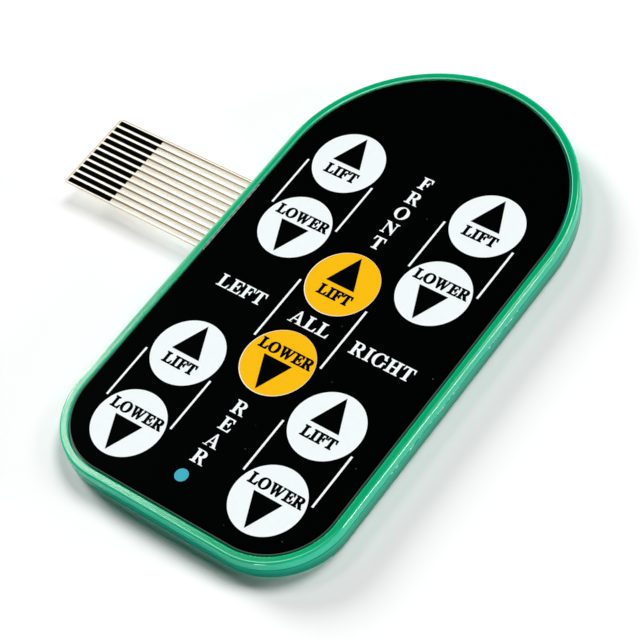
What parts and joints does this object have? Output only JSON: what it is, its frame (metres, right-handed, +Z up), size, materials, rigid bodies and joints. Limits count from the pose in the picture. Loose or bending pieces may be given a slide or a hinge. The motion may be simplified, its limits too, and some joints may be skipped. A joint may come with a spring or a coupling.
{
  "type": "membrane keypad",
  "caption": "Flat membrane keypad with round printed keys in lift and lower pairs, a round-ended moulded frame and a flat film tail with edge contacts.",
  "frame": {"origin": "centre of the flat back face, midway between the frame's two ends and its two sides", "axes": "+X across the keypad to the right, +Y along it towards the round end, +Z up out of the printed face; the tail leaves along -X"},
  "size_m": [0.1508, 0.175, 0.0077],
  "materials": {
    "green_plastic": "satin moulded plastic",
    "glue": "cured glue, dark in the seam",
    "adhesive": "double-sided adhesive sheet",
    "circuit_film": "milky polyester film",
    "silver_ink": "silver-filled conductive ink",
    "clear_coat": "clear insulating coat with a cream tint",
    "carbon_ink": "carbon-filled conductive ink",
    "stiffener_film": "white polyester strip",
    "spacer_film": "clear film with adhesive on both faces",
    "overlay_black": "black printed polyester with a hard coat",
    "white_ink": "white print under a hard coat",
    "yellow_ink": "yellow print under a hard coat",
    "black_ink": "black print under a hard coat",
    "blue_ink": "blue print under a hard coat"
  },
  "bodies": {
    "root": {"base_plate": "green_plastic", "seam_bond": "glue", "rim_frame": "green_plastic", "panel_adhesive": "adhesive", "lower_circuit": "circuit_film", "lower_tracks": "silver_ink", "tail_cover": "clear_coat", "tail_contacts": "carbon_ink", "tail_stiffener": "stiffener_film", "spacer": "spacer_film", "common_link": "silver_ink", "upper_tracks": "silver_ink", "upper_circuit": "circuit_film", "overlay_adhesive": "adhesive", "graphic_overlay": "overlay_black", "white_print": "white_ink", "yellow_print": "yellow_ink", "black_print": "black_ink", "blue_print": "blue_ink"}
  },
  "joints": []
}
